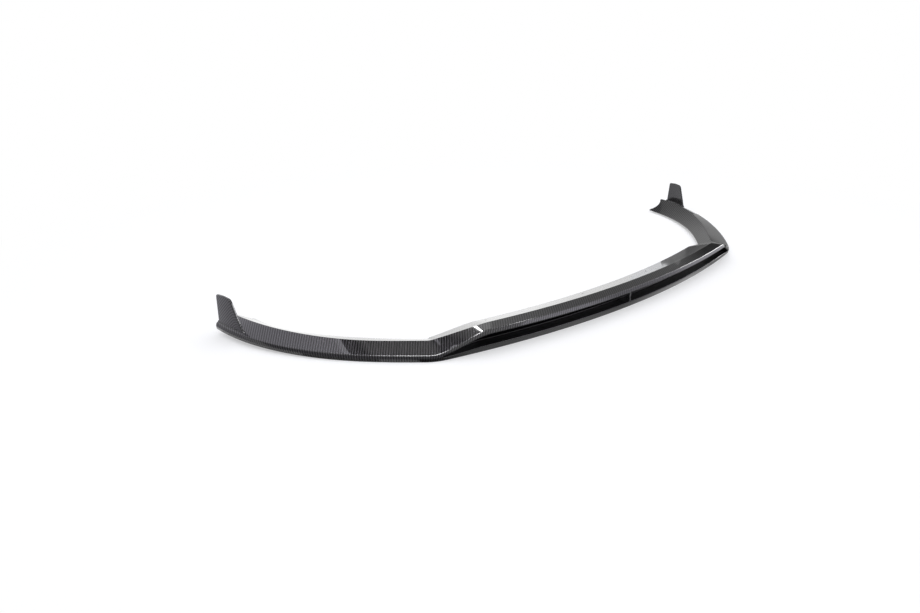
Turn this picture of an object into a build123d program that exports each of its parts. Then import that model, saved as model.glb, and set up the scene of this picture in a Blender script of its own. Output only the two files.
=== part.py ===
"""Front splitter lip: a moulded carbon-fibre skin with a slotted centre, swept arms and end fins."""
import math
import os

from build123d import *

# Plan line of the foot, the lowest outer edge, followed from the middle to each end (mm, degrees)
CENTRE_RUN = 560.0
CENTRE_TURN = 13.4
CORNER_RUN = 48.0
CORNER_TURN = 25.2
ARM_RUN = 519.0
ARM_EVEN_TURN = 15.5
ARM_CLOSING_TURN = 28.7

# Laminate
WALL = 2.5
BEND_RADIUS = 3.0

# Raised centre section
FRONT_LEAN = 19.9
SILL_HEIGHT = 16.0
SLOT_MOUTH = 29.7
BAND_HEIGHT = 10.3
BAND_SETBACK = 5.5
CENTRE_TOP_WIDTH = 29.8
CENTRE_TOP_RISE = 2.5
CENTRE_FLANGE_WIDTH = 65.0
CENTRE_FLANGE_DROP = 24.3

# Slot behind the sill
SLOT_DEPTH = 40.0
SLOT_FLOOR_FALL = 7.0
SLOT_BACK_LEAN = 9.0
SLOT_ROOF_RISE = 1.5
SLOT_TIP_DEPTH = 8.0

# Arm section beside the corner
FACE_HEIGHT = 14.6
FACE_CROWN = 1.0
FACE_SETBACK = 2.0
ARM_TOP_WIDTH = 53.0
ARM_TOP_RISE = 10.7
ARM_FLANGE_WIDTH = 38.0
ARM_FLANGE_DROP = 14.3

# Arm section at the free end
END_LIFT = 14.0
END_TOP_WIDTH = 40.3
END_TOP_RISE = 12.4
END_FLANGE_WIDTH = 58.0
END_FLANGE_DROP = 34.0

# Upright fin on each arm end, measured forward from the end and up from the brow there
FIN_LENGTH = 105.0
FIN_THICKNESS = 6.0
FIN_INSET = 9.0
FIN_HEIGHT = 70.9
FIN_CROWN = 2.5
FIN_TOE_LENGTH = 14.7
FIN_NOSE_RAKE = 32.3
FIN_SINK = 5.6
FIN_FOOT_RADIUS = 20.0
FIN_NOSE_RADIUS = 12.0
FIN_REAR_LEAN = 6.0
FIN_REAR_RADIUS = 6.0
FIN_EDGE_RADIUS = 2.2
FIN_FILLET = 4.0

# Screw holes in the centre flange: the inner pair from the middle, the outer pair short of the corner
INNER_HOLE_RUN = 131.5
OUTER_HOLE_LEAD = 129.0
HOLE_DIAMETER = 5.5
HOLE_SETBACK = 38.0

# Bite out of the flange at each arm end
SCALLOP_RADIUS = 30.0
SCALLOP_DEPTH = 12.0

# Strut in the middle of the slot, set back from the foot line
STAY_SETBACK = 9.0
STAY_LENGTH = 12.0
STAY_WIDTH = 5.0
STAY_RADIUS = 1.5

# Where the centre drops to the arms: leads are measured back from the start of the corner
FRONT_RAMP_LEAD = 102.0
FRONT_RAMP_LENGTH = 134.0
TOP_RAMP_LEAD = 120.0
TOP_RAMP_LENGTH = 160.0
SLOT_TIP_LEAD = 24.0

# Where the arm changes, as shares of its own run
LIFT_START = 0.25
LIFT_POWER = 1.6
RIDGE_RISE_START = 0.2
RIDGE_RISE_END = 0.92
WIDENING_END = 0.8

# Loft stations, evenly spaced so that the skin runs smoothly, and the step used to walk the plan line
RAMP_STATIONS = 6
CORNER_STATIONS = 4
ARM_STATIONS = 20
SEAT_STATIONS = 6
PLAN_STEP = 1.0

# How far cutting tools reach past what they cut
CUT_REACH = 25.0

CORNER_END = CENTRE_RUN + CORNER_RUN
HALF_RUN = CORNER_END + ARM_RUN
FRONT_RAMP_START = CENTRE_RUN - FRONT_RAMP_LEAD
FRONT_RAMP_END = FRONT_RAMP_START + FRONT_RAMP_LENGTH
TOP_RAMP_START = CENTRE_RUN - TOP_RAMP_LEAD
TOP_RAMP_END = TOP_RAMP_START + TOP_RAMP_LENGTH
RAMP_START = min(FRONT_RAMP_START, TOP_RAMP_START)
SLOT_TIP_RUN = FRONT_RAMP_END - SLOT_TIP_LEAD
CENTRE_CURVE_RADIUS = CENTRE_RUN / math.radians(CENTRE_TURN)
OUTER_HOLE_RUN = CENTRE_RUN - OUTER_HOLE_LEAD

UNDER_HEIGHT = SILL_HEIGHT + SLOT_MOUTH
CENTRE_RIDGE_HEIGHT = UNDER_HEIGHT + BAND_HEIGHT + CENTRE_TOP_RISE
CENTRE_FLANGE_HEIGHT = CENTRE_RIDGE_HEIGHT - CENTRE_FLANGE_DROP
ARM_RIDGE_HEIGHT = FACE_HEIGHT + ARM_TOP_RISE
ARM_FLANGE_HEIGHT = ARM_RIDGE_HEIGHT - ARM_FLANGE_DROP
END_BROW_HEIGHT = END_LIFT + FACE_HEIGHT
END_RIDGE_HEIGHT = END_BROW_HEIGHT + END_TOP_RISE
END_FLANGE_HEIGHT = END_RIDGE_HEIGHT - END_FLANGE_DROP
FIN_NOSE_FOOT = FIN_LENGTH - FIN_TOE_LENGTH
FIN_TOP_LENGTH = FIN_NOSE_FOOT - FIN_NOSE_RAKE
FIN_TOP = END_BROW_HEIGHT + FIN_HEIGHT
FIN_FOOT = END_BROW_HEIGHT - FIN_SINK


def mix(first, second, share):
    return first + (second - first) * share


def ease(start, end, value):
    """Rises smoothly from 0 at start to 1 at end."""
    share = min(1.0, max(0.0, (value - start) / (end - start)))
    return share * share * (3.0 - 2.0 * share)


def arm_share(run):
    return min(1.0, max(0.0, (run - CORNER_END) / ARM_RUN))


def heading(run):
    """Direction of the foot line at a run from the middle, in degrees from +X."""
    centre = CENTRE_TURN * min(1.0, run / CENTRE_RUN)
    corner = CORNER_TURN * min(1.0, max(0.0, (run - CENTRE_RUN) / CORNER_RUN))
    arm = arm_share(run)
    return centre + corner + ARM_EVEN_TURN * arm + ARM_CLOSING_TURN * arm * arm


def plan_point(run):
    """Foot line in plan: an arc over the centre, then walked in short steps along its heading."""
    centre_run = min(run, CENTRE_RUN)
    centre_angle = math.radians(heading(centre_run))
    x = CENTRE_CURVE_RADIUS * math.sin(centre_angle)
    y = CENTRE_CURVE_RADIUS * (1.0 - math.cos(centre_angle))
    steps = math.ceil((run - centre_run) / PLAN_STEP)
    for i in range(steps):
        step = (run - centre_run) / steps
        angle = math.radians(heading(centre_run + (i + 0.5) * step))
        x += math.cos(angle) * step
        y += math.sin(angle) * step
    return Vector(x, y)


def station_plane(signed_run):
    """Section plane: local x points inward from the foot line, local y points up."""
    run = abs(signed_run)
    side = math.copysign(1.0, signed_run)
    foot = plan_point(run)
    angle = math.radians(heading(run))
    inward = Vector(-side * math.sin(angle), math.cos(angle), 0)
    along = Vector(math.cos(angle), side * math.sin(angle), 0)
    return Plane(origin=(side * foot.X, foot.Y, 0), x_dir=inward, z_dir=along)


def end_lift(run):
    share = max(0.0, (arm_share(run) - LIFT_START) / (1.0 - LIFT_START))
    return END_LIFT * share**LIFT_POWER


def front_points(run):
    """Sill, blade underside and brow of the section, as inward distance and height."""
    drop = ease(FRONT_RAMP_START, FRONT_RAMP_END, run)
    lift = end_lift(run)
    half_face = FACE_HEIGHT / 2
    lean = math.tan(math.radians(FRONT_LEAN))
    under = Vector(
        mix(-UNDER_HEIGHT * lean, -FACE_CROWN, drop),
        mix(UNDER_HEIGHT, half_face, drop) + lift,
    )
    sill_height = mix(SILL_HEIGHT, half_face, drop)
    sill = Vector(under.X * sill_height / (under.Y - lift), sill_height + lift)
    brow = under + Vector(
        mix(BAND_SETBACK, FACE_SETBACK, drop),
        mix(BAND_HEIGHT, FACE_HEIGHT - half_face, drop),
    )
    return sill, under, brow


def chain_points(run):
    """Outer line of the skin's section: foot, underside edge, brow, ridge and flange edge."""
    _, under, brow = front_points(run)
    drop = ease(TOP_RAMP_START, TOP_RAMP_END, run)
    arm = arm_share(run)
    wide = ease(0.0, WIDENING_END, arm)
    rise = ease(RIDGE_RISE_START, RIDGE_RISE_END, arm)
    top_width = mix(mix(CENTRE_TOP_WIDTH, ARM_TOP_WIDTH, drop), END_TOP_WIDTH, wide)
    ridge_height = mix(mix(CENTRE_RIDGE_HEIGHT, ARM_RIDGE_HEIGHT, drop), END_RIDGE_HEIGHT, rise)
    flange_width = mix(mix(CENTRE_FLANGE_WIDTH, ARM_FLANGE_WIDTH, drop), END_FLANGE_WIDTH, wide)
    flange_height = mix(mix(CENTRE_FLANGE_HEIGHT, ARM_FLANGE_HEIGHT, drop), END_FLANGE_HEIGHT, wide)
    foot = Vector(0, end_lift(run))
    ridge = Vector(brow.X + top_width, ridge_height)
    edge = Vector(ridge.X + flange_width, flange_height)
    return [foot, under, brow, ridge, edge]


def inner_normal(start, end):
    along = (end - start).normalized()
    return Vector(along.Y, -along.X)


def inner_chain(points, gap):
    """The same line moved to its inner side by the gap, with mitred corners."""
    normals = [inner_normal(a, b) for a, b in zip(points, points[1:])]
    before = normals[:1] + normals
    after = normals + normals[-1:]
    shifted = []
    for point, first, second in zip(points, before, after):
        shifted.append(point + (first + second) * (gap / (1.0 + first.dot(second))))
    return shifted


def slot_points(run):
    """Fold of the skin that makes the slot: sill, floor back and roof back."""
    sill, under, _ = front_points(run)
    openness = 1.0 - ease(FRONT_RAMP_START, FRONT_RAMP_END, run)
    depth = mix(SLOT_TIP_DEPTH, SLOT_DEPTH, openness)
    floor_back = sill + Vector(depth, -SLOT_FLOOR_FALL * openness)
    roof_back = Vector(floor_back.X - SLOT_BACK_LEAN * openness, under.Y + SLOT_ROOF_RISE * openness)
    return [sill, floor_back, roof_back]


def slotted_points(run):
    """Outer line of the section where the skin folds back into the slot behind the sill."""
    foot, *rest = chain_points(run)
    return [foot] + slot_points(run) + rest


def wall_section(signed_run, outer, radii):
    """Closed section of the wall behind an outer line, with its outer bends rounded."""
    inner = inner_chain(outer, WALL)
    sharp = [0] * len(inner)
    outline = FilletPolyline(*outer, *reversed(inner), radius=radii + sharp, close=True)
    return station_plane(signed_run) * make_face(outline)


def arm_section(run):
    return wall_section(run, chain_points(run), [0, BEND_RADIUS, BEND_RADIUS, BEND_RADIUS, 0])


def slotted_section(signed_run):
    radii = [0, 0, 0, 0, 0, BEND_RADIUS, BEND_RADIUS, 0]
    return wall_section(signed_run, slotted_points(abs(signed_run)), radii)


def spread(start, end, count):
    """Evenly spaced runs from start to end, both included."""
    return [mix(start, end, i / count) for i in range(count + 1)]


def make_centre():
    """Even middle of the lip, one section swung about the centre of its curve."""
    axis = Axis((0, CENTRE_CURVE_RADIUS, 0), (0, 0, 1))
    return revolve(slotted_section(-RAMP_START), axis, 2 * heading(RAMP_START))


def make_ramp():
    """The +X ramp, where the blade comes down and the slot closes to its tip."""
    return loft([slotted_section(run) for run in spread(RAMP_START, SLOT_TIP_RUN, RAMP_STATIONS)])


def make_arm_skin():
    """Skin of the +X arm: the corner beyond the tip of the slot, then the sweep to the free end."""
    corner = loft([arm_section(run) for run in spread(SLOT_TIP_RUN, CORNER_END, CORNER_STATIONS)])
    sweep = loft([arm_section(run) for run in spread(CORNER_END, HALF_RUN, ARM_STATIONS)])
    return corner + sweep


def make_slot_cap():
    """Wall that closes the +X tip of the slot."""
    fold = inner_chain(slotted_points(SLOT_TIP_RUN), WALL / 2)[1:5]
    return extrude(station_plane(SLOT_TIP_RUN) * make_face(Polyline(*fold, close=True)), WALL)


def inset_point(run, inset):
    """Point in plan at an inward distance from the foot line, on the +X side."""
    return station_plane(run).from_local_coords((inset, 0, 0))


def inset_arc(inset, front_run, rear_run):
    runs = (front_run, (front_run + rear_run) / 2, rear_run)
    return ThreePointArc(*[inset_point(run, inset) for run in runs])


def make_fin_wall():
    """Upright wall that follows the foot line over the length of the fin."""
    front_run = HALF_RUN - FIN_LENGTH - CUT_REACH
    rear_run = HALF_RUN + CUT_REACH
    outer = inset_arc(FIN_INSET - FIN_THICKNESS / 2, front_run, rear_run)
    inner = inset_arc(FIN_INSET + FIN_THICKNESS / 2, front_run, rear_run)
    front = Line(outer @ 0, inner @ 0)
    rear = Line(outer @ 1, inner @ 1)
    return extrude(make_face([outer, inner, front, rear]), FIN_TOP + CUT_REACH)


def fin_outline():
    """Side view of the fin: distance forward of the arm's end, and height."""
    rear_low = Vector(0, 0)
    tip = Vector(FIN_LENGTH, 0)
    foot = Vector(FIN_LENGTH, FIN_FOOT)
    nose_low = Vector(FIN_NOSE_FOOT, FIN_FOOT)
    nose_top = Vector(FIN_TOP_LENGTH, FIN_TOP)
    rear_top = Vector(FIN_REAR_LEAN, FIN_TOP)
    crown = (nose_top + rear_top) / 2 + Vector(0, FIN_CROWN)
    lower = FilletPolyline(rear_low, tip, foot, nose_low, nose_top, radius=[0, 0, FIN_FOOT_RADIUS])
    top = ThreePointArc(nose_top, crown, rear_top)
    face = make_face([lower, top, Line(rear_top, rear_low)])
    face = fillet(face.vertices().sort_by_distance(nose_top)[:1], FIN_NOSE_RADIUS)
    return fillet(face.vertices().sort_by_distance(rear_top)[:1], FIN_REAR_RADIUS)


def make_fin():
    """Fin on the +X arm, cut to its side view and seated in the middle of the skin."""
    rear = inset_point(HALF_RUN, FIN_INSET)
    front = inset_point(HALF_RUN - FIN_LENGTH, FIN_INSET)
    forward = (front - rear).normalized()
    side = Plane(origin=rear, x_dir=forward, z_dir=forward.cross(Vector(0, 0, 1)))
    fin = make_fin_wall() & extrude(side * fin_outline(), FIN_LENGTH / 2, both=True)
    sides = fin.faces().sort_by(SortBy.AREA)[-2:]
    rims = [edge for face in sides for edge in face.edges() if edge.center().Z > FIN_FOOT - WALL]
    return fillet(rims, FIN_EDGE_RADIUS) & make_fin_seat()


def seat_section(run):
    """Space above the middle of the skin's top, from brow to ridge."""
    middle = inner_chain(chain_points(run), WALL / 2)
    brow = middle[2]
    ridge = middle[3]
    headroom = FIN_TOP + CUT_REACH
    outline = Polyline(brow, ridge, (ridge.X, headroom), (brow.X, headroom), close=True)
    return station_plane(run) * make_face(outline)


def make_fin_seat():
    runs = spread(HALF_RUN - 2 * FIN_LENGTH, HALF_RUN, SEAT_STATIONS)
    return loft([seat_section(run) for run in runs])


def make_holes():
    """Screw holes along the flange, all drilled square to it at the middle."""
    slope = math.atan2(CENTRE_FLANGE_DROP, CENTRE_FLANGE_WIDTH)
    axis = Vector(0, math.sin(slope), math.cos(slope))
    share = HOLE_SETBACK / CENTRE_FLANGE_WIDTH
    cutters = []
    for run in (INNER_HOLE_RUN, OUTER_HOLE_RUN):
        ridge, edge = chain_points(run)[3:]
        for signed_run in (-run, run):
            mouth = station_plane(signed_run).from_local_coords(ridge + (edge - ridge) * share)
            cutters.append(Plane(origin=mouth, z_dir=axis) * Cylinder(HOLE_DIAMETER / 2, CUT_REACH))
    return cutters


def make_scallop():
    """Round bite out of the flange at the end of the +X arm."""
    ridge, edge = chain_points(HALF_RUN)[3:]
    middle = (ridge.X + edge.X) / 2
    beyond = SCALLOP_RADIUS - SCALLOP_DEPTH
    centre = station_plane(HALF_RUN).from_local_coords((middle, 0, beyond))
    return Pos(centre.X, centre.Y, 0) * Cylinder(SCALLOP_RADIUS, 2 * (END_RIDGE_HEIGHT + CUT_REACH))


def make_arm():
    """The +X arm with its fin blended in and the slot closed off."""
    skin = make_arm_skin()
    fin = make_fin()
    finned = fillet(new_edges(skin, fin, combined=skin + fin), FIN_FILLET)
    return finned - make_scallop() + make_slot_cap()


def make_lip():
    half = make_ramp() + make_arm()
    return make_centre() + [half, mirror(half, Plane.YZ)] - make_holes()


def make_stay():
    """Small strut bonded between the slot's floor and roof at the middle."""
    _, sill, floor_back, roof_back, under, *_ = slotted_points(0.0)
    floor_fall = (floor_back.Y - sill.Y) / (floor_back.X - sill.X)
    roof_rise = (roof_back.Y - under.Y) / (roof_back.X - under.X)
    reach = (STAY_SETBACK, STAY_SETBACK + STAY_LENGTH)
    floor = [Vector(x, sill.Y + (x - sill.X) * floor_fall) for x in reach]
    roof = [Vector(x, under.Y + (x - under.X) * roof_rise) for x in reach]
    outline = Polyline(floor[0], floor[1], roof[1], roof[0], close=True)
    stay = extrude(station_plane(0.0) * make_face(outline), STAY_WIDTH / 2, both=True)
    return fillet(stay.edges().filter_by(Axis.Z), STAY_RADIUS)


def main():
    """Writes the pieces with the origin under the middle of the lip's box."""
    os.makedirs("parts", exist_ok=True)
    lip = make_lip()
    box = lip.bounding_box()
    home = Pos(0, -box.center().Y, -box.min.Z)
    export_step(home * lip, "parts/splitter_lip.step")
    export_step(home * make_stay(), "parts/slot_stay.step")


main()
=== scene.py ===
import functools
import math

import bmesh
import bpy
from mathutils import Matrix, Vector


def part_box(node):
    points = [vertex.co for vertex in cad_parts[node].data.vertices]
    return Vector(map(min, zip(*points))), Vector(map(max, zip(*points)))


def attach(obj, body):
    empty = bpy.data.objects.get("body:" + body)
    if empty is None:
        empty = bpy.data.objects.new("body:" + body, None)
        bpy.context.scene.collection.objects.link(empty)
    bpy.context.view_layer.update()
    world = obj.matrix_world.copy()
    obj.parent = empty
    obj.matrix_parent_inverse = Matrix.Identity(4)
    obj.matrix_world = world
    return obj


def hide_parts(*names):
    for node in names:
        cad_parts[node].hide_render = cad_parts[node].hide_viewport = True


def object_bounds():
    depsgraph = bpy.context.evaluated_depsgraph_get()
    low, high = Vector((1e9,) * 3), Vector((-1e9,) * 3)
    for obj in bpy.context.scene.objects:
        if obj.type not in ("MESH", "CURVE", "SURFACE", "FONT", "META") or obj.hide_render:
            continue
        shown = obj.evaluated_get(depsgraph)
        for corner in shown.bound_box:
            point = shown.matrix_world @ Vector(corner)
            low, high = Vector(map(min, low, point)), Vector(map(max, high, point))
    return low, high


# Looks of the front splitter lip: twill laminate under a deep clear coat, on a pale studio floor.
# All sizes are in metres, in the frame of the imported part.

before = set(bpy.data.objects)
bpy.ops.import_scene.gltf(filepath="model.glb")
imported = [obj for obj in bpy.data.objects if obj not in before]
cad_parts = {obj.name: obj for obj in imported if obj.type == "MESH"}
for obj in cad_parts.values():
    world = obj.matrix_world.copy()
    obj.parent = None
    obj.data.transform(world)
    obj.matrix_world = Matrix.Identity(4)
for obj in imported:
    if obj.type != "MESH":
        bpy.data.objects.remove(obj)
CAD_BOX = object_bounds()

# Plan line of the foot, followed from the middle to each end (turns in degrees)
CENTRE_RUN = 0.560
CENTRE_TURN = 13.4
CORNER_RUN = 0.048
CORNER_TURN = 25.2
ARM_RUN = 0.519
ARM_EVEN_TURN = 15.5
ARM_CLOSING_TURN = 28.7
PLAN_STEP = 0.001

# Laminate
WALL = 0.0025
BEND_RADIUS = 0.003
LIP_RADIUS = 0.0018
FOLD_RADIUS = 0.002

# Raised centre section and its slot
FRONT_LEAN = 19.9
SILL_HEIGHT = 0.016
UNDER_HEIGHT = 0.0457
BAND_HEIGHT = 0.0103
BAND_SETBACK = 0.0055
CENTRE_TOP_WIDTH = 0.0298
CENTRE_RIDGE_HEIGHT = 0.0585
CENTRE_FLANGE_WIDTH = 0.065
CENTRE_FLANGE_HEIGHT = 0.0342
SLOT_DEPTH = 0.040
SLOT_FLOOR_FALL = 0.007
SLOT_BACK_LEAN = 0.009
SLOT_ROOF_RISE = 0.0015
SLOT_TIP_DEPTH = 0.008

# Arm section beside the corner, then at the free end
FACE_HEIGHT = 0.0146
FACE_CROWN = 0.001
FACE_SETBACK = 0.002
ARM_TOP_WIDTH = 0.053
ARM_RIDGE_HEIGHT = 0.0253
ARM_FLANGE_WIDTH = 0.038
ARM_FLANGE_HEIGHT = 0.011
END_LIFT = 0.014
END_TOP_WIDTH = 0.0403
END_RIDGE_HEIGHT = 0.041
END_FLANGE_WIDTH = 0.058
END_FLANGE_HEIGHT = 0.007

# Upright fin on each arm end, measured forward from the end
FIN_LENGTH = 0.105
FIN_THICKNESS = 0.006
FIN_INSET = 0.009
FIN_TOP = 0.0995
FIN_CROWN = 0.0025
FIN_TOP_LENGTH = 0.058
FIN_NOSE_FOOT = 0.0903
FIN_FOOT = 0.023
FIN_FOOT_RADIUS = 0.020
FIN_NOSE_RADIUS = 0.012
FIN_REAR_LEAN = 0.006
FIN_REAR_RADIUS = 0.006
FIN_EDGE_RADIUS = 0.0022
FIN_FILLET = 0.004

# Share of the fillet that is left where it fades out
FILLET_END = 0.02

# Screw holes in the flange and the bite out of each arm end
HOLE_RUNS = (0.1315, 0.431)
HOLE_RADIUS = 0.00275
HOLE_SETBACK = 0.038
SCALLOP_RADIUS = 0.030
SCALLOP_DEPTH = 0.012
CUT_REACH = 0.025

# Where the centre drops to the arms, as runs, and where the arm changes, as shares of its own run
FRONT_RAMP = (0.458, 0.592)
TOP_RAMP = (0.440, 0.600)
SLOT_TIP_RUN = 0.568
LIFT_START = 0.25
LIFT_POWER = 1.6
RIDGE_RISE = (0.2, 0.92)
WIDENING = (0.0, 0.8)

# Fineness of the mesh
RING_GAP = 0.003
BEND_STEPS = 6
FLAT_STEP = 0.008
FIN_STRIP = 0.005
ROUND_STEPS = 48
SHARP_ANGLE = 38.0

# Twill: two sets of flat tows, whose ribs lie half way between them (degrees from +Y toward +X)
TOW_WIDTH = 0.0020
TOW_AZIMUTHS = (83.0, -7.0)
TOW_EDGE_FALL = 1.6
TWILL_REPEAT = 4.0
# Painted sheen and shade: warp and weft are the same fibre, but the warp gets far more reflectance
# than the weft, standing in for the fibres' direction-dependent sheen
WARP_PAINTED_SHEEN = (0.084, 0.081, 0.089, 1)
WEFT_PAINTED_SHADE = (0.004, 0.004, 0.0045, 1)
# Dark resin between the tows, with painted shade falling off across each tow's rounded profile toward
# it
GAP_AND_EDGE_SHADE = (0.002, 0.002, 0.002, 1)

# Inside of the slot: painted shade, a near-black base and a weakened coat that stand in for the shade
# deep in the slot
SLOT_PAINTED_SHADE = (0.002, 0.002, 0.003, 1)
SLOT_SHADE_COAT_LOSS = 0.9

# Camera and stage
CAMERA_PLACE = (-1.3678, -1.2054, 0.6778)
CAMERA_TURN = (67.0, 0.0, -39.78)
CAMERA_LENS = 26.80
CAMERA_SENSOR = 36.0
FLOOR_SIZE = 14.0
FLOOR_DROP = 0.0005
FLOOR_NEAR = 1.0
FLOOR_FAR = 1.8
FLOOR_LIFT = 0.43
FLOOR_PAINT = (0.62, 0.62, 0.62, 1)
WHITE = (1, 1, 1, 1)
SKY_LIGHT = (0.585, 0.595, 0.64, 1)
LAMP_HEIGHT = 3.0
LAMP_SIZE = 4.0
LAMP_POWER = 57.0

# Studio cards that only reflections see
COOL = (1.0, 0.985, 1.06)
SOFTBOX_HEIGHT = 0.6
SOFTBOX_EDGE = -0.535
FRONT_BOX_X = 2.2
RIGHT_X = 0.95
RIGHT_START = -0.02
RIGHT_FLANGE_START = 0.16
FAR_STRIP_X = 2.0
ROOM_LEFT_X = -3.0
ROOM_FRONT_Y = -4.0
ROOM_CARD_HEIGHT = 0.6
CARD_LIFT = 0.0005
LOWER_CARD_LIFT = 0.0004
# The foot and slot cards are painted shadow: dim strips on the floor in front of the lip, seen only in
# reflections
FOOT_CARD_GAP = 0.001
FOOT_CARD_WIDTH = 0.035
SLOT_CARD_WIDTH = 0.25
STRIP_STEPS = 80

CORNER_END = CENTRE_RUN + CORNER_RUN
HALF_RUN = CORNER_END + ARM_RUN
FRONT_SLOPE = math.tan(math.radians(FRONT_LEAN))


def mix(first, second, share):
    """Value between two, by a share."""
    return first + (second - first) * share


def ease(span, value):
    """Smooth step from 0 to 1 over a span."""
    share = min(1.0, max(0.0, (value - span[0]) / (span[1] - span[0])))
    return share * share * (3.0 - 2.0 * share)


def arm_share(run):
    """How far along the arm a run lies, from 0 to 1."""
    return min(1.0, max(0.0, (run - CORNER_END) / ARM_RUN))


def heading(run):
    """Turn of the foot line toward the rear, in radians."""
    centre = CENTRE_TURN * min(1.0, run / CENTRE_RUN)
    corner = CORNER_TURN * min(1.0, max(0.0, (run - CENTRE_RUN) / CORNER_RUN))
    arm = arm_share(run)
    return math.radians(centre + corner + ARM_EVEN_TURN * arm + ARM_CLOSING_TURN * arm * arm)


@functools.lru_cache(maxsize=None)
def plan_point(run):
    """Foot line in plan, walked in short steps along its heading."""
    steps = max(1, math.ceil(run / PLAN_STEP))
    step = run / steps
    angles = [heading((i + 0.5) * step) for i in range(steps)]
    return Vector((sum(map(math.cos, angles)) * step, sum(map(math.sin, angles)) * step))


def station(signed_run):
    """Foot point and inward direction in plan."""
    run = abs(signed_run)
    side = math.copysign(1.0, signed_run)
    foot = plan_point(run)
    angle = heading(run)
    return Vector((side * foot.x, foot.y)), Vector((-side * math.sin(angle), math.cos(angle)))


def front_points(run):
    """Foot, sill, under and brow of a section: inward distance from the foot line, and height."""
    drop = ease(FRONT_RAMP, run)
    lift = END_LIFT * max(0.0, (arm_share(run) - LIFT_START) / (1.0 - LIFT_START)) ** LIFT_POWER
    half_face = FACE_HEIGHT / 2.0
    under_height = mix(UNDER_HEIGHT, half_face, drop)
    sill_height = mix(SILL_HEIGHT, half_face, drop)
    under = Vector((mix(-UNDER_HEIGHT * FRONT_SLOPE, -FACE_CROWN, drop), under_height + lift))
    sill = Vector((under.x * sill_height / under_height, sill_height + lift))
    band = Vector((mix(BAND_SETBACK, FACE_SETBACK, drop), mix(BAND_HEIGHT, half_face, drop)))
    return Vector((0.0, lift)), sill, under, under + band


def top_points(run, brow):
    """Ridge and rear edge of a section."""
    drop = ease(TOP_RAMP, run)
    wide = ease(WIDENING, arm_share(run))
    rise = ease(RIDGE_RISE, arm_share(run))
    top_width = mix(mix(CENTRE_TOP_WIDTH, ARM_TOP_WIDTH, drop), END_TOP_WIDTH, wide)
    ridge_height = mix(mix(CENTRE_RIDGE_HEIGHT, ARM_RIDGE_HEIGHT, drop), END_RIDGE_HEIGHT, rise)
    flange_width = mix(mix(CENTRE_FLANGE_WIDTH, ARM_FLANGE_WIDTH, drop), END_FLANGE_WIDTH, wide)
    flange_height = mix(mix(CENTRE_FLANGE_HEIGHT, ARM_FLANGE_HEIGHT, drop), END_FLANGE_HEIGHT, rise)
    ridge = Vector((brow.x + top_width, ridge_height))
    return ridge, Vector((ridge.x + flange_width, flange_height))


def slot_back(run, sill, under):
    """Back corners of the slot, on its floor and under its roof."""
    openness = 1.0 - ease(FRONT_RAMP, run)
    depth = mix(SLOT_TIP_DEPTH, SLOT_DEPTH, openness)
    floor_back = sill + Vector((depth, -SLOT_FLOOR_FALL * openness))
    roof_x = floor_back.x - SLOT_BACK_LEAN * openness
    return floor_back, Vector((roof_x, under.y + SLOT_ROOF_RISE * openness))


def arm_line(run):
    """Outer line of a plain section, the radius of each corner, the brow's number, and no slot."""
    foot, _, under, brow = front_points(run)
    line = [foot, under, brow, *top_points(run, brow)]
    return line, [0, BEND_RADIUS, BEND_RADIUS, BEND_RADIUS, 0], 2, None


def slotted_line(run):
    """Outer line of a slotted section, the radius of each corner, and the brow's and lips' numbers."""
    foot, sill, under, brow = front_points(run)
    line = [foot, sill, *slot_back(run, sill, under), under, brow, *top_points(run, brow)]
    fold = FOLD_RADIUS * (1.0 - ease(FRONT_RAMP, run))
    return line, [0, LIP_RADIUS, fold, fold, LIP_RADIUS, BEND_RADIUS, BEND_RADIUS, 0], 5, (1, 4)


def offset_line(points, gap):
    """The same line moved to its right-hand side by a gap, with mitred corners."""
    normals = []
    for start, end in zip(points, points[1:]):
        along = (end - start).normalized()
        normals.append(Vector((along.y, -along.x)))
    moved = [points[0] + normals[0] * gap]
    for point, before, after in zip(points[1:], normals, normals[1:]):
        moved.append(point + (before + after) * gap / (1.0 + before.dot(after)))
    return moved + [points[-1] + normals[-1] * gap]


def corner_arc(before, corner, after, radius):
    """Points of the round that replaces a corner."""
    first = (before - corner).normalized()
    second = (after - corner).normalized()
    half = math.acos(max(-1.0, min(1.0, first.dot(second)))) / 2.0
    middle = (first + second).normalized()
    centre = corner + middle * radius / math.sin(half)
    start = corner + first * radius / math.tan(half) - centre
    sweep = math.copysign(math.pi - 2.0 * half, start.cross(-middle))
    turns = [Matrix.Rotation(sweep * i / BEND_STEPS, 2) for i in range(BEND_STEPS + 1)]
    return [centre + turn @ start for turn in turns]


def round_line(points, radii, flat_counts):
    """Line with rounded corners and evenly divided flats, and the index of each corner's middle."""
    result = []
    middles = []
    for i, (point, radius) in enumerate(zip(points, radii)):
        arc = corner_arc(points[i - 1], point, points[i + 1], radius) if radius else [point]
        if result:
            start = result[-1]
            count = flat_counts[i - 1]
            result += [start.lerp(arc[0], (k + 1) / count) for k in range(count - 1)]
        middles.append(len(result) + len(arc) // 2)
        result += arc
    return result, middles


def flat_counts_of(points):
    """Number of pieces that each flat of a line is divided into."""
    flats = zip(points, points[1:])
    return [max(1, math.ceil((end - start).length / FLAT_STEP)) for start, end in flats]


def developed(points, zero):
    """Distance along a line from its point number zero, negative before it."""
    lengths = [0.0]
    for start, end in zip(points, points[1:]):
        lengths.append(lengths[-1] + (end - start).length)
    return [length - lengths[zero] for length in lengths]


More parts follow.
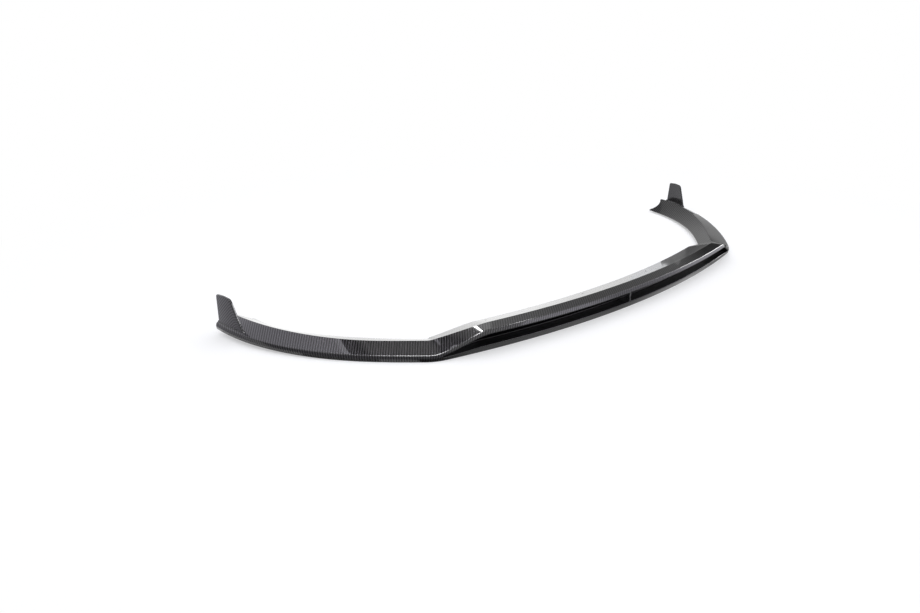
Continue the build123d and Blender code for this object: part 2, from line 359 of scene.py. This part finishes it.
def wall_ring(signed_run, line_of, flat_counts):
    """Closed ring of the wall at a station: points, places on the flat cloth, and slot marks."""
    outer, radii, brow, lips = line_of(abs(signed_run))
    face, middles = round_line(outer, radii, flat_counts)
    back = offset_line(outer, WALL)
    foot, inward = station(signed_run)
    profile = face + back[::-1]
    cloth = developed(face, middles[brow]) + developed(back, brow)[::-1]
    brow_plan = foot + inward * outer[brow].x
    ring = [(*(foot + inward * point.x), point.y) for point in profile]
    drape = [brow_plan + inward * distance for distance in cloth]
    slot = range(middles[lips[0]] + 1, middles[lips[1]]) if lips else ()
    return ring, drape, [i in slot for i in range(len(ring))]


def mesh_from(rings, drapes, slots=()):
    """Closed tube through rings, with its places on the cloth as UV map and the slot marked."""
    mesh = bmesh.new()
    layer = mesh.loops.layers.uv.new("drape")
    # mark of the faces inside the slot, where the laminate paints shade
    slot_shade = mesh.verts.layers.float.new("slot_shade")
    verts = [[mesh.verts.new(place) for place in ring] for ring in rings]
    for row, flags in zip(verts, slots):
        for vert, inside in zip(row, flags):
            vert[slot_shade] = float(inside)
    spots = {}
    for row, drape in zip(verts, drapes):
        spots.update(zip(row, drape))
    for near, far in zip(verts, verts[1:]):
        for i in range(len(near)):
            mesh.faces.new((near[i - 1], near[i], far[i], far[i - 1]))
    mesh.faces.new(verts[0])
    mesh.faces.new(verts[-1])
    for face in mesh.faces:
        for loop in face.loops:
            loop[layer].uv = spots[loop.vert]
    bmesh.ops.recalc_face_normals(mesh, faces=mesh.faces)
    return mesh


def skin_mesh(start, end, line_of):
    """Skin between two stations."""
    widest = line_of(min(abs(start), abs(end)))[0] if start * end > 0 else line_of(0.0)[0]
    counts = flat_counts_of(widest)
    steps = math.ceil(abs(end - start) / RING_GAP)
    stations = [mix(start, end, i / steps) for i in range(steps + 1)]
    return mesh_from(*zip(*[wall_ring(run, line_of, counts) for run in stations]))


def as_object(mesh, name):
    """Object with a finished mesh, in the scene."""
    data = bpy.data.meshes.new(name)
    mesh.to_mesh(data)
    mesh.free()
    result = bpy.data.objects.new(name, data)
    bpy.context.scene.collection.objects.link(result)
    return result


def cylinder(place, axis, radius, length):
    """Cutter with its middle at a place."""
    mesh = bmesh.new()
    turn = Vector(axis).to_track_quat("Z", "Y").to_matrix().to_4x4()
    bmesh.ops.create_cone(mesh, cap_ends=True, segments=ROUND_STEPS, radius1=radius, radius2=radius,
                          depth=length, matrix=Matrix.Translation(place) @ turn)
    return as_object(mesh, "cutter")


def cut(obj, cutters):
    """Takes the cutters out of an object and removes them."""
    for cutter in cutters:
        modifier = obj.modifiers.new("cut", "BOOLEAN")
        modifier.solver = "EXACT"
        modifier.object = cutter
    evaluated = obj.evaluated_get(bpy.context.evaluated_depsgraph_get())
    data = bpy.data.meshes.new_from_object(evaluated)
    obj.modifiers.clear()
    obj.data = data
    for cutter in cutters:
        bpy.data.objects.remove(cutter)


def make_centre():
    """Slotted centre with its ramps, drilled."""
    centre = as_object(skin_mesh(-SLOT_TIP_RUN, SLOT_TIP_RUN, slotted_line), "centre")
    fall = CENTRE_RIDGE_HEIGHT - CENTRE_FLANGE_HEIGHT
    axis = Vector((0.0, fall, CENTRE_FLANGE_WIDTH)).normalized()
    cutters = []
    for run in HOLE_RUNS:
        *_, ridge, edge = slotted_line(run)[0]
        mouth = ridge.lerp(edge, HOLE_SETBACK / CENTRE_FLANGE_WIDTH)
        for signed_run in (-run, run):
            foot, inward = station(signed_run)
            place = Vector((*(foot + inward * mouth.x), mouth.y))
            cutters.append(cylinder(place, axis, HOLE_RADIUS, CUT_REACH))
    cut(centre, cutters)
    return centre


def make_arm(side):
    """One arm with the round bite out of its end."""
    arm = as_object(skin_mesh(side * SLOT_TIP_RUN, side * HALF_RUN, arm_line), "arm")
    *_, ridge, edge = arm_line(HALF_RUN)[0]
    foot, inward = station(side * HALF_RUN)
    along = Vector((side * math.cos(heading(HALF_RUN)), math.sin(heading(HALF_RUN))))
    beyond = SCALLOP_RADIUS - SCALLOP_DEPTH
    middle = foot + inward * (ridge.x + edge.x) / 2.0 + along * beyond
    place = (*middle, END_FLANGE_HEIGHT)
    cut(arm, [cylinder(place, (0, 0, 1), SCALLOP_RADIUS, 4 * END_RIDGE_HEIGHT)])
    return arm


def make_slot_cap(side):
    """Wall that closes the tip of the slot, set back a little inside the arm."""
    corners = slotted_line(SLOT_TIP_RUN)[0][1:5]
    rings = []
    for depth in (0.0, WALL):
        foot, inward = station(side * (SLOT_TIP_RUN + depth))
        rings.append([(*(foot + inward * (corner.x + depth / 2.0)), corner.y) for corner in corners])
    # the cap counts as inside the slot, so it takes the painted shade
    inside = [True] * len(corners)
    return as_object(mesh_from(rings, [corners, corners], [inside, inside]), "slot_cap")


def fin_outline():
    """Side view of the fin: distance forward of the arm's end, and height."""
    rear_low = Vector((0.0, 0.0))
    tip = Vector((FIN_LENGTH, 0.0))
    foot = Vector((FIN_LENGTH, FIN_FOOT))
    nose_low = Vector((FIN_NOSE_FOOT, FIN_FOOT))
    nose_top = Vector((FIN_TOP_LENGTH, FIN_TOP))
    crown = Vector(((FIN_TOP_LENGTH + FIN_REAR_LEAN) / 2.0, FIN_TOP + FIN_CROWN))
    rear_top = Vector((FIN_REAR_LEAN, FIN_TOP))
    half_span = (FIN_TOP_LENGTH - FIN_REAR_LEAN) / 2.0
    crown_radius = (half_span ** 2 + FIN_CROWN ** 2) / (2.0 * FIN_CROWN)
    points = [rear_low, tip, foot, nose_low, nose_top, crown, rear_top, rear_low]
    radii = [0, 0, 0, FIN_FOOT_RADIUS, FIN_NOSE_RADIUS, crown_radius / 2.0, FIN_REAR_RADIUS, 0]
    return round_line(points, radii, flat_counts_of(points))[0][:-1]


def inset_outline(points, gap):
    """Closed outline moved inward by a gap."""
    closed = [points[-1], *points, points[0]]
    moved = offset_line(closed, -gap)
    return moved[1:-1]


def skin_height(run, inset, depth=0.0):
    """Height of the arm's top, or of a layer below it, at a run and an inset."""
    line = arm_line(run)[0]
    brow, ridge = offset_line(line, depth)[2:4]
    return mix(brow.y, ridge.y, (inset - brow.x) / (ridge.x - brow.x))


def fin_place(side, forward, across, height):
    """Point of the fin, bent to the foot line and sunk no deeper than the middle of the skin."""
    squeeze = 1.0 - FIN_INSET * (heading(HALF_RUN) - heading(HALF_RUN - FIN_LENGTH)) / FIN_LENGTH
    run = HALF_RUN - forward / squeeze
    inset = FIN_INSET + across
    foot, inward = station(side * run)
    lowest = skin_height(run, inset, WALL / 2.0)
    return (*(foot + inward * inset), max(height, lowest))


def fin_rings():
    """Rings of a straight fin with rounded rims, and their places on the cloth."""
    outline = fin_outline()
    half = FIN_THICKNESS / 2.0
    layers = []
    for i in range(BEND_STEPS + 1):
        angle = math.pi / 2.0 * i / BEND_STEPS
        across = half - FIN_EDGE_RADIUS * (1.0 - math.cos(angle))
        line = inset_outline(outline, FIN_EDGE_RADIUS * (1.0 - math.sin(angle)))
        cloth = inset_outline(outline, FIN_EDGE_RADIUS * (1.0 - angle))
        layers.append((across, line, cloth))
    layers += [(-across, line, cloth) for across, line, cloth in reversed(layers)]
    rings = [[(point.x, across, point.y) for point in line] for across, line, _ in layers]
    return rings, [cloth for *_, cloth in layers]


def settle_fin(mesh, side):
    """Bends a straight fin to the foot line, and closes it where it sinks into the skin."""
    sunk = set()
    for vert in mesh.verts:
        place = fin_place(side, *vert.co)
        if place[2] > vert.co.z:
            sunk.add(vert)
        vert.co = place
    hidden = [face for face in mesh.faces if sunk.issuperset(face.verts)]
    bmesh.ops.delete(mesh, geom=hidden, context="FACES")
    bmesh.ops.holes_fill(mesh, edges=[edge for edge in mesh.edges if edge.is_boundary])
    bmesh.ops.recalc_face_normals(mesh, faces=mesh.faces)


def make_fin(side):
    """One fin, divided into strips so that it can bend."""
    mesh = mesh_from(*fin_rings())
    for i in range(1, int(FIN_LENGTH / FIN_STRIP)):
        everything = mesh.verts[:] + mesh.edges[:] + mesh.faces[:]
        place = (i * FIN_STRIP, 0, 0)
        bmesh.ops.bisect_plane(mesh, geom=everything, plane_co=place, plane_no=(1, 0, 0))
    settle_fin(mesh, side)
    return as_object(mesh, "fin")


def make_fin_bead(side, face):
    """Hollow round between one face of a fin and the skin, fading out under the nose."""
    root = FIN_THICKNESS / 2.0 * face
    fading = (FIN_NOSE_FOOT - FIN_FOOT_RADIUS, FIN_NOSE_FOOT)
    steps = math.ceil(FIN_NOSE_FOOT / FIN_STRIP)
    rings = []
    for i in range(steps + 1):
        forward = FIN_NOSE_FOOT * i / steps
        run = HALF_RUN - forward
        radius = FIN_FILLET * max(FILLET_END, 1.0 - ease(fading, forward))
        profile = [(root / 2.0, -WALL / 4.0)]
        for k in range(BEND_STEPS + 1):
            share = k / BEND_STEPS
            profile.append((root + face * radius * share * share, radius * (1.0 - share) ** 2))
        rings.append([fin_place(side, forward, across, skin_height(run, FIN_INSET + across) + climb)
                      for across, climb in profile])
    drapes = [[place[:2] for place in ring] for ring in rings]
    return as_object(mesh_from(rings, drapes), "fin_bead")


def joined(parts, name):
    """One object from several, which are removed."""
    mesh = bmesh.new()
    for part in parts:
        mesh.from_mesh(part.data)
        bpy.data.objects.remove(part)
    return as_object(mesh, name)


def make_lip():
    """The whole lip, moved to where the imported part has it."""
    parts = [make_centre()]
    for side in (-1.0, 1.0):
        parts += [make_arm(side), make_slot_cap(side), make_fin(side)]
        parts += [make_fin_bead(side, face) for face in (-1.0, 1.0)]
    lip = joined(parts, "lip")
    low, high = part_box("splitter_lip")
    rear = max(vert.co.y for vert in lip.data.vertices)
    bottom = min(vert.co.z for vert in lip.data.vertices)
    lip.data.transform(Matrix.Translation((0.0, high.y - rear, low.z - bottom)))
    lip.data.shade_smooth()
    lip.data.set_sharp_from_angle(angle=math.radians(SHARP_ANGLE))
    weighted = lip.modifiers.new("weighted normals", "WEIGHTED_NORMAL")
    weighted.keep_sharp = True
    lip.data.materials.append(laminate())
    return lip


class Nodes:
    """Short ways to add shader nodes to one tree."""

    def __init__(self, tree):
        self.tree = tree
        tree.nodes.clear()

    def feed(self, socket, value):
        """Links a socket, or sets it to a constant."""
        if isinstance(value, bpy.types.NodeSocket):
            self.tree.links.new(value, socket)
        else:
            socket.default_value = value

    def add(self, kind, **inputs):
        """Node with its inputs fed by their names, which have _ for each space."""
        node = self.tree.nodes.new(kind)
        for name, value in inputs.items():
            self.feed(node.inputs[name.replace("_", " ")], value)
        return node

    def operate(self, kind, operation, values):
        """Outputs of a node that does one operation on values."""
        node = self.tree.nodes.new(kind)
        node.operation = operation
        for socket, value in zip(node.inputs, values):
            self.feed(socket, value)
        return node.outputs

    def math(self, operation, *values):
        """Number from numbers."""
        return self.operate("ShaderNodeMath", operation, values)["Value"]

    def vector(self, operation, *values):
        """Vector from vectors."""
        return self.operate("ShaderNodeVectorMath", operation, values)["Vector"]

    def measure(self, operation, *values):
        """Number from vectors."""
        return self.operate("ShaderNodeVectorMath", operation, values)["Value"]

    def blend(self, share, first, second):
        """Colour between two, by a share."""
        node = self.tree.nodes.new("ShaderNodeMix")
        node.data_type = "RGBA"
        self.feed(node.inputs["Factor"], share)
        self.feed(node.inputs["A"], first)
        self.feed(node.inputs["B"], second)
        return node.outputs["Result"]

    def seen(self):
        """1 for rays from the camera, a mirror or a lens."""
        path = self.add("ShaderNodeLightPath")
        direct = self.math("MAXIMUM", path.outputs["Is Camera Ray"], path.outputs["Is Glossy Ray"])
        return self.math("MAXIMUM", direct, path.outputs["Is Transmission Ray"])


def new_material(name):
    """Material with an empty node tree."""
    material = bpy.data.materials.new(name)
    material.use_nodes = True
    return material, Nodes(material.node_tree)


def azimuth_vector(degrees):
    """Level direction, turned from +Y toward +X."""
    return (math.sin(math.radians(degrees)), math.cos(math.radians(degrees)), 0.0)


def laminate():
    """Two-by-two twill of flat tows under a clear coat, with painted sheen on the warp tows, painted
    shade toward each tow's edges, and painted shade (near-black base, weakened coat) where the slot is
    marked.
    """
    material, n = new_material("carbon_laminate")
    uv = n.add("ShaderNodeUVMap")
    uv.uv_map = "drape"
    tows = []
    bulges = []
    for azimuth in TOW_AZIMUTHS:
        along = n.measure("DOT_PRODUCT", uv.outputs["UV"], azimuth_vector(azimuth))
        count = n.math("DIVIDE", along, TOW_WIDTH)
        off_middle = n.math("ABSOLUTE", n.math("SUBTRACT", n.math("FRACT", count), 0.5))
        bulges.append(n.math("SUBTRACT", 1.0, n.math("MULTIPLY", off_middle, TOW_EDGE_FALL)))
        tows.append(n.math("FLOOR", count))
    step = n.math("FLOORED_MODULO", n.math("SUBTRACT", *tows), TWILL_REPEAT)
    warp_on_top = n.math("LESS_THAN", step, (TWILL_REPEAT - 1.0) / 2.0)
    weft_on_top = n.math("SUBTRACT", 1.0, warp_on_top)
    warp_bulge, weft_bulge = bulges
    bulge = n.math("ADD", n.math("MULTIPLY", warp_on_top, warp_bulge),
                   n.math("MULTIPLY", weft_on_top, weft_bulge))
    # painted sheen on the warp tows, and painted shade toward each tow's edge
    woven_with_sheen = n.blend(bulge, GAP_AND_EDGE_SHADE, n.blend(warp_on_top, WEFT_PAINTED_SHADE, WARP_PAINTED_SHEEN))
    mark = n.add("ShaderNodeAttribute")
    mark.attribute_name = "slot_shade"
    slot_shade = mark.outputs["Fac"]
    # painted shade inside the slot: near-black base, no metal and a weakened coat where the slot is
    # marked
    shade = n.blend(slot_shade, woven_with_sheen, SLOT_PAINTED_SHADE)
    metal = n.math("SUBTRACT", 1.0, slot_shade)
    coat = n.math("SUBTRACT", 1.0, n.math("MULTIPLY", slot_shade, SLOT_SHADE_COAT_LOSS))
    relief = n.add("ShaderNodeBump", Strength=0.07, Distance=0.0003, Height=bulge)
    surface = n.add("ShaderNodeBsdfPrincipled", Base_Color=shade, Metallic=metal, Roughness=0.30,
                    Normal=relief.outputs["Normal"], Coat_Weight=coat, Coat_Roughness=0.03)
    n.add("ShaderNodeOutputMaterial", Surface=surface.outputs[0])
    return material


def satin_metal():
    """Brushed light metal of the stay."""
    material, n = new_material("stay_metal")
    place = n.add("ShaderNodeTexCoord")
    stretched = n.vector("MULTIPLY", place.outputs["Object"], (1.0, 1.0, 0.05))
    grain = n.add("ShaderNodeTexNoise", Vector=stretched, Scale=1500.0, Detail=3.0)
    shade = n.blend(grain.outputs["Fac"], (0.36, 0.36, 0.37, 1), (0.52, 0.52, 0.53, 1))
    surface = n.add("ShaderNodeBsdfPrincipled", Base_Color=shade, Metallic=1.0, Roughness=0.38)
    n.add("ShaderNodeOutputMaterial", Surface=surface.outputs[0])
    return material


def studio_floor():
    """Pale floor that keeps the shadow near the lip and fades into the white beyond it."""
    material, n = new_material("studio_floor")
    place = n.add("ShaderNodeNewGeometry")
    distance = n.measure("LENGTH", place.outputs["Position"])
    fade = n.add("ShaderNodeMapRange", Value=distance, From_Min=FLOOR_NEAR, From_Max=FLOOR_FAR)
    fade.interpolation_type = "SMOOTHSTEP"
    paint = n.add("ShaderNodeBsdfDiffuse", Color=FLOOR_PAINT)
    strength = n.math("MULTIPLY", FLOOR_LIFT, n.seen())
    lift = n.add("ShaderNodeEmission", Color=WHITE, Strength=strength)
    near = n.add("ShaderNodeAddShader")
    n.feed(near.inputs[0], paint.outputs[0])
    n.feed(near.inputs[1], lift.outputs[0])
    glow = n.add("ShaderNodeEmission", Color=WHITE, Strength=1.0)
    both = n.add("ShaderNodeMixShader", Fac=fade.outputs[0])
    n.feed(both.inputs[1], near.outputs[0])
    n.feed(both.inputs[2], glow.outputs[0])
    n.add("ShaderNodeOutputMaterial", Surface=both.outputs[0])
    return material


def card_cloth(name, axis, stops, tint):
    """Glow whose level runs through stops, each a place along an axis and a level."""
    material, n = new_material(name)
    place = n.add("ShaderNodeNewGeometry")
    along = n.add("ShaderNodeSeparateXYZ", Vector=place.outputs["Position"]).outputs[axis]
    level = stops[0][1]
    for (start, before), (end, after) in zip(stops, stops[1:]):
        rise = n.add("ShaderNodeMapRange", Value=along, From_Min=start, From_Max=end,
                     To_Max=after - before)
        level = n.math("ADD", level, rise.outputs[0])
    glow = n.add("ShaderNodeEmission", Color=(*tint, 1), Strength=level)
    n.add("ShaderNodeOutputMaterial", Surface=glow.outputs[0])
    return material


def make_card(name, corners, axis, stops, tint=(1, 1, 1)):
    """Flat studio card that only reflections see."""
    mesh = bmesh.new()
    mesh.faces.new([mesh.verts.new(corner) for corner in corners])
    card = as_object(mesh, name)
    card.visible_camera = False
    card.visible_diffuse = False
    card.visible_shadow = False
    card.data.materials.append(card_cloth(name, axis, stops, tint))


def level_card(x_span, y_span, z):
    """Corners of a level card."""
    left, right = x_span
    near, far = y_span
    return [(left, near, z), (right, near, z), (right, far, z), (left, far, z)]


def upright_card(start, end, z_span):
    """Corners of an upright card between two points in plan."""
    low, high = z_span
    return [(*start, low), (*end, low), (*end, high), (*start, high)]


def facing_card(place, target, size):
    """Corners of a square card that faces a target."""
    turn = (Vector(target) - Vector(place)).to_track_quat("-Z", "Y")
    half = size / 2.0
    signs = ((-half, -half), (half, -half), (half, half), (-half, half))
    return [Vector(place) + turn @ Vector((x, y, 0)) for x, y in signs]


def strip_card(reach, gap, width):
    """Corners of a strip on the floor that follows the foot line, a gap in front of it."""
    runs = [mix(-reach, reach, i / STRIP_STEPS) for i in range(STRIP_STEPS + 1)]
    stations = [station(run) for run in runs]
    inner = [foot - inward * gap for foot, inward in stations]
    outer = [foot - inward * (gap + width) for foot, inward in stations]
    front = CAD_BOX[0].y + UNDER_HEIGHT * FRONT_SLOPE
    return [(point.x, point.y + front, CARD_LIFT) for point in inner + outer[::-1]]


def make_left_cards():
    """Softbox above the near arm, the flag beside it, and the strip that the brow mirrors."""
    over_arm = [(-1.4, 1.3), (-0.57, 1.25), (-0.545, 2.0)]
    corners = level_card((over_arm[0][0], SOFTBOX_EDGE), (0.1, 1.6), SOFTBOX_HEIGHT)
    make_card("left_softbox", corners, "X", over_arm, COOL)
    beside_box = [(-0.475, 0.10), (-0.455, 0.46), (-0.3, 0.48)]
    corners = level_card((SOFTBOX_EDGE, -0.2), (0.0, 0.7), SOFTBOX_HEIGHT)
    make_card("left_flag", corners, "X", beside_box)
    span = (-0.78, -0.44)
    make_card("brow_strip", level_card(span, (-0.5, 0.3), 1.5), "X", list(zip(span, (12.0, 45.0))))


def make_right_cards():
    """Cards ahead and beyond the far arm, for the band, the tops, the flange and the far brow."""
    ahead = [(-5.5, 2.3), (-3.0, 2.1), (-2.4, 0.9), (-1.5, 0.9), (-1.0, 1.5), (-0.6, 1.2)]
    corners = upright_card((FRONT_BOX_X, ahead[0][0]), (FRONT_BOX_X, -0.4), (0.1, 2.4))
    make_card("front_softbox", corners, "Y", ahead, COOL)
    seam, seam_level = (0.41, 0.24)
    start = (RIGHT_X, RIGHT_START)
    middle = (RIGHT_X, RIGHT_FLANGE_START)
    far_top = [(0.09, 0.42), (0.13, 0.03), (0.30, 0.03), (0.35, 0.13), (seam, seam_level)]
    make_card("right_flag", upright_card(start, middle, (0.0, seam)), "Z", far_top)
    corners = upright_card(middle, (RIGHT_X, 0.75), (0.02, seam))
    make_card("right_card", corners, "Z", [(0.06, 0.10), (0.12, 0.55)])
    centre_top = [(seam, seam_level), (0.73, 0.26), (0.96, 0.33), (1.10, 0.47), (1.29, 0.55)]
    make_card("right_wall", upright_card(start, (RIGHT_X, 1.3), (seam, 1.4)), "Z", centre_top)
    span = (0.3, 1.2)
    corners = upright_card((FAR_STRIP_X, -0.4), (FAR_STRIP_X, -0.05), span)
    make_card("far_strip", corners, "Z", list(zip(span, (12.0, 14.0))))


def make_room_cards():
    """Dim room below the white, to the left and in front, for the fin and the arm's face."""
    span = (0.0, ROOM_CARD_HEIGHT)
    levels = list(zip(span, (0.3, 0.5)))
    corner = (ROOM_LEFT_X, ROOM_FRONT_Y)
    make_card("room_left", upright_card((ROOM_LEFT_X, 1.5), corner, span), "Z", levels, COOL)
    make_card("room_front", upright_card(corner, (-0.5, ROOM_FRONT_Y), span), "Z", levels, COOL)


def make_floor_cards():
    """Cards on the floor, as the foot, the slot, the fin and the rear flange mirror them; the two dim
    strips along the foot are painted shadow of the lip on the floor in front of it.
    """
    # dim strip just in front of the foot: painted shadow of the lip on the floor, seen only in
    # reflections
    foot_shadow_levels = [(-0.9, 0.12), (-0.6, 0.1), (-0.5, 0.45), (-0.2, 0.5), (-0.04, 0.3), (0.12, 0.5),
                   (0.28, 0.62), (0.44, 0.22)]
    corners = strip_card(HALF_RUN, FOOT_CARD_GAP, FOOT_CARD_WIDTH)
    make_card("foot_shadow_card", corners, "X", foot_shadow_levels)
    # wider, darker strip beyond it: painted shadow on the floor in front of the slot, as the slot
    # mirrors it
    corners = strip_card(HALF_RUN - FIN_LENGTH, FOOT_CARD_GAP + FOOT_CARD_WIDTH, SLOT_CARD_WIDTH)
    make_card("slot_shadow_card", corners, "X", [(-0.5, 0.10), (0.3, 0.04)])
    span = (-1.3, -0.9)
    corners = level_card(span, (0.1, 0.9), LOWER_CARD_LIFT)
    make_card("fin_floor", corners, "X", list(zip(span, (0.7, 0.65))), COOL)
    behind = [(-0.6, 1.12), (-0.1, 1.2), (0.1, 1.05)]
    make_card("rear_sheet", level_card((-0.9, 0.45), (-0.16, 0.55), CARD_LIFT), "X", behind)


def make_sparks():
    """Small bright cards for the highlights at the top of the near ramp and on the fin's nose."""
    ramp_top = (-0.46, -0.2, 0.05)
    corners = facing_card((0.6, 1.96, 1.84), ramp_top, 0.13)
    make_card("ramp_spark", corners, "X", [(0.5, 20.0), (0.7, 30.0)])
    nose = (-0.88, 0.19, 0.06)
    corners = facing_card((-0.24, -0.315, 0.29), nose, 0.085)
    make_card("fin_spark", corners, "Z", [(0.24, 12.0), (0.34, 14.0)])


def make_floor():
    """Wide floor just below the lip."""
    mesh = bmesh.new()
    bmesh.ops.create_grid(mesh, size=FLOOR_SIZE / 2.0)
    floor = as_object(mesh, "floor")
    floor.location.z = -FLOOR_DROP
    floor.data.materials.append(studio_floor())


def make_world():
    """White to the camera and in reflections, dimmer as a light."""
    world = bpy.data.worlds.new("studio")
    bpy.context.scene.world = world
    world.use_nodes = True
    n = Nodes(world.node_tree)
    shade = n.blend(n.seen(), SKY_LIGHT, WHITE)
    sky = n.add("ShaderNodeBackground", Color=shade, Strength=1.0)
    n.add("ShaderNodeOutputWorld", Surface=sky.outputs[0])


def make_lamp():
    """Wide lamp straight above, which no mirror shows."""
    data = bpy.data.lights.new("overhead", "AREA")
    data.size = LAMP_SIZE
    data.energy = LAMP_POWER
    lamp = bpy.data.objects.new("overhead", data)
    lamp.location.z = LAMP_HEIGHT
    lamp.visible_glossy = False
    bpy.context.scene.collection.objects.link(lamp)


def make_camera():
    """Camera where the photo was taken from."""
    data = bpy.data.cameras.new("camera")
    data.sensor_width = CAMERA_SENSOR
    data.lens = CAMERA_LENS
    camera = bpy.data.objects.new("camera", data)
    camera.location = CAMERA_PLACE
    camera.rotation_euler = [math.radians(turn) for turn in CAMERA_TURN]
    bpy.context.scene.collection.objects.link(camera)
    bpy.context.scene.camera = camera


lip = make_lip()
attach(lip, "root")
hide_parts("splitter_lip")

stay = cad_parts["slot_stay"]
stay.data.materials.clear()
stay.data.materials.append(satin_metal())

make_floor()
make_world()
make_left_cards()
make_right_cards()
make_room_cards()
make_floor_cards()
make_sparks()
make_lamp()
make_camera()
bpy.context.scene.view_settings.view_transform = "Standard"
